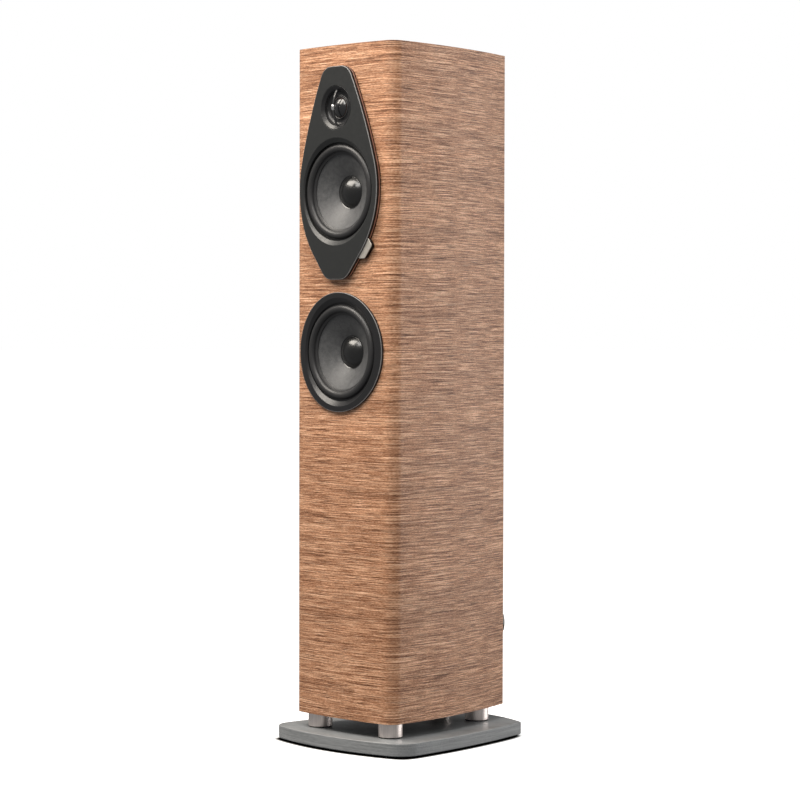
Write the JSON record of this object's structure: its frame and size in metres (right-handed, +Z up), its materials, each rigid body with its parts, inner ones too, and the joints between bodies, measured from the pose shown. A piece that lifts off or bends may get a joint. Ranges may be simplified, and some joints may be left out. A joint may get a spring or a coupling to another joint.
{
  "type": "floorstanding speaker",
  "caption": "Tall wood-veneered speaker cabinet with bowed sides on a spaced base plate, with a drop-shaped driver panel, a woofer with trim ring, and rear terminals.",
  "frame": {"origin": "on the floor, at the middle of the whole object's footprint", "axes": "+Z up, +Y to the rear, so that the drivers face -Y, +X to the speaker's left as it faces out (the viewer's right)"},
  "size_m": [0.2818, 0.3532, 1.0295],
  "materials": {
    "veneer": "satin open-pored veneer with level grain",
    "board": "raw fibreboard",
    "painted_board": "black matt lacquered board",
    "panel_coat": "satin soft-touch coat",
    "tab_metal": "fine brushed, warm tint",
    "trim_black": "satin black moulding",
    "gloss_black": "polished black",
    "cast_frame": "matt black powder coat",
    "surround_rubber": "satin rubber",
    "cone_pulp": "coated pressed pulp",
    "spider_cloth": "resin-dipped weave",
    "dome_film": "coated dome, glossy",
    "copper_wire": "enamelled copper winding",
    "steel": "zinc plated",
    "ferrite": "bare ferrite",
    "black_screw": "black oxide",
    "bridge_metal": "black bar with a bright nub",
    "circuit_board": "solder mask",
    "capacitor_film": "wrapped film",
    "resistor_ceramic": "cement body",
    "plug_brass": "plated, polished",
    "nut_metal": "dark plated",
    "felt": "needle felt",
    "plate_lacquer": "grey satin lacquer over faint grain",
    "nickel": "satin nickel, warm",
    "foot_rubber": "matt rubber"
  },
  "bodies": {
    "cabinet": {"veneer_wrap": "veneer", "veneer_top": "veneer", "front_baffle": "painted_board", "side_panel_left": "board", "side_panel_right": "board", "rear_panel": "painted_board", "top_panel": "board", "bottom_panel": "painted_board", "chamber_shelf": "board", "brace_upper": "board", "brace_lower": "board", "damping_pad": "felt", "port_tube": "trim_black", "driver_panel": "panel_coat", "panel_tab": "tab_metal", "woofer_trim_ring": "trim_black", "driver_screws": "black_screw", "tweeter_waveguide": "trim_black", "tweeter_bridge": "bridge_metal", "tweeter_surround": "surround_rubber", "tweeter_top_plate": "steel", "tweeter_magnet": "ferrite", "tweeter_back_plate": "steel", "tweeter_rear_chamber": "trim_black", "crossover_board": "circuit_board", "crossover_coils": "copper_wire", "crossover_capacitors": "capacitor_film", "crossover_resistors": "resistor_ceramic", "terminal_dish": "gloss_black", "terminal_posts": "plug_brass", "terminal_screws": "black_screw", "base_plate": "plate_lacquer", "base_bolts": "steel", "spacers": "nickel", "spacer_rings": "foot_rubber", "rubber_feet": "foot_rubber", "woofer_basket": "cast_frame", "woofer_surround": "surround_rubber", "woofer_spider": "spider_cloth", "woofer_top_plate": "steel", "woofer_magnet": "ferrite", "woofer_back_plate": "steel", "mid_basket": "cast_frame", "mid_surround": "surround_rubber", "mid_spider": "spider_cloth", "mid_top_plate": "steel", "mid_magnet": "ferrite", "mid_back_plate": "steel"},
    "woofer_diaphragm": {"woofer_cone": "cone_pulp", "woofer_dust_cap": "gloss_black", "woofer_voice_coil": "copper_wire"},
    "mid_diaphragm": {"mid_cone": "cone_pulp", "mid_dust_cap": "gloss_black", "mid_voice_coil": "copper_wire"},
    "tweeter_diaphragm": {"tweeter_dome": "dome_film", "tweeter_voice_coil": "copper_wire"},
    "clamp_left": {"clamp_washer_left": "plug_brass"},
    "clamp_right": {"clamp_washer_right": "plug_brass"},
    "nut_left": {"thumb_nut_left": "nut_metal"},
    "nut_right": {"thumb_nut_right": "nut_metal"}
  },
  "joints": [
    {"name": "woofer_travel", "type": "slide", "parent": "cabinet", "child": "woofer_diaphragm", "axis": [0, -1, 0], "range_m": [-0.005, 0.005], "stiffness_N_per_m": 900, "deforming": ["woofer_surround", "woofer_spider"]},
    {"name": "mid_travel", "type": "slide", "parent": "cabinet", "child": "mid_diaphragm", "axis": [0, -1, 0], "range_m": [-0.003, 0.003], "stiffness_N_per_m": 1500, "deforming": ["mid_surround", "mid_spider"]},
    {"name": "tweeter_travel", "type": "slide", "parent": "cabinet", "child": "tweeter_diaphragm", "axis": [0, -1, 0], "range_m": [-0.0004, 0.0004], "stiffness_N_per_m": 600, "deforming": ["tweeter_surround"]},
    {"name": "clamp_left_slide", "type": "slide", "parent": "cabinet", "child": "clamp_left", "axis": [0, 1, 0], "range_m": [0, 0.0035]},
    {"name": "nut_left_turn", "type": "hinge", "parent": "clamp_left", "child": "nut_left", "pos_m": [-0.0095, 0.1643, 0.1645], "axis": [0, 1, 0], "range_deg": [0, 1260]},
    {"name": "clamp_right_slide", "type": "slide", "parent": "cabinet", "child": "clamp_right", "axis": [0, 1, 0], "range_m": [0, 0.0035]},
    {"name": "nut_right_turn", "type": "hinge", "parent": "clamp_right", "child": "nut_right", "pos_m": [0.0095, 0.1643, 0.1645], "axis": [0, 1, 0], "range_deg": [0, 1260]}
  ],
  "couplings": [
    {"joint": "nut_left_turn", "follows": "clamp_left_slide", "rad_per_m": 6283.2},
    {"joint": "nut_right_turn", "follows": "clamp_right_slide", "rad_per_m": 6283.2}
  ]
}
